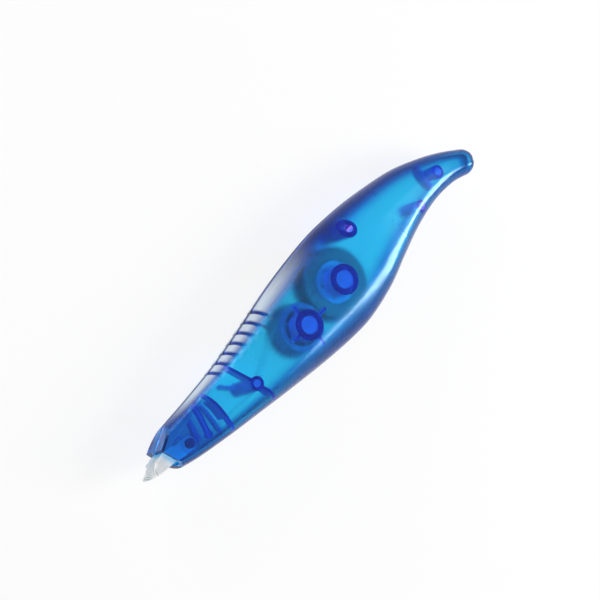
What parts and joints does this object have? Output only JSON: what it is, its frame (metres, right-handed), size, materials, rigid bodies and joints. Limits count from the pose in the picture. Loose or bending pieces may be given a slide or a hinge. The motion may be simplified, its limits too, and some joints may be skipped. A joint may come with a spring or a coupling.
{
  "type": "correction tape pen",
  "caption": "Pen-shaped correction tape: a see-through two-part case with a grooved grip and curved tail, geared tape reels inside and a wedge tip.",
  "frame": {"origin": "centre of the bounding box in plan, on the flat outer face of the back shell that the pen lies on", "axes": "+X from the applicator tip towards the curved tail, +Y towards the grooved back edge, +Z through the case from the back shell to the front shell"},
  "size_m": [0.1456, 0.0298, 0.018],
  "materials": {
    "case_blue": "clear gloss",
    "tip_clear": "clear gloss",
    "gear_blue": "semi gloss",
    "core_blue": "semi gloss",
    "flange_clear": "clear gloss",
    "clutch_rubber": "matte",
    "tape_white": "matte",
    "liner": "satin"
  },
  "bodies": {
    "housing": {"front_shell": "case_blue", "back_shell": "case_blue", "applicator_tip": "tip_clear", "tape_run": "tape_white", "liner_run": "liner"},
    "supply_drive": {"supply_gear": "gear_blue", "clutch_ring": "clutch_rubber"},
    "supply_reel": {"supply_core": "core_blue", "tape_roll": "tape_white", "supply_flange": "flange_clear"},
    "take_up_reel": {"take_up_spool": "gear_blue", "liner_roll": "liner"}
  },
  "joints": [
    {"name": "supply_gear_spin", "type": "hinge", "parent": "housing", "child": "supply_drive", "pos_m": [0.01182, 0.00028, 0.009], "axis": [0, 0, 1], "continuous": true},
    {"name": "supply_reel_slip", "type": "hinge", "parent": "supply_drive", "child": "supply_reel", "pos_m": [0.01182, 0.00028, 0.009], "axis": [0, 0, 1], "continuous": true},
    {"name": "take_up_spin", "type": "hinge", "parent": "housing", "child": "take_up_reel", "pos_m": [-0.00608, -0.0016, 0.009], "axis": [0, 0, 1], "continuous": true}
  ],
  "couplings": [
    {"joint": "take_up_spin", "follows": "supply_gear_spin", "ratio": -1.4}
  ]
}
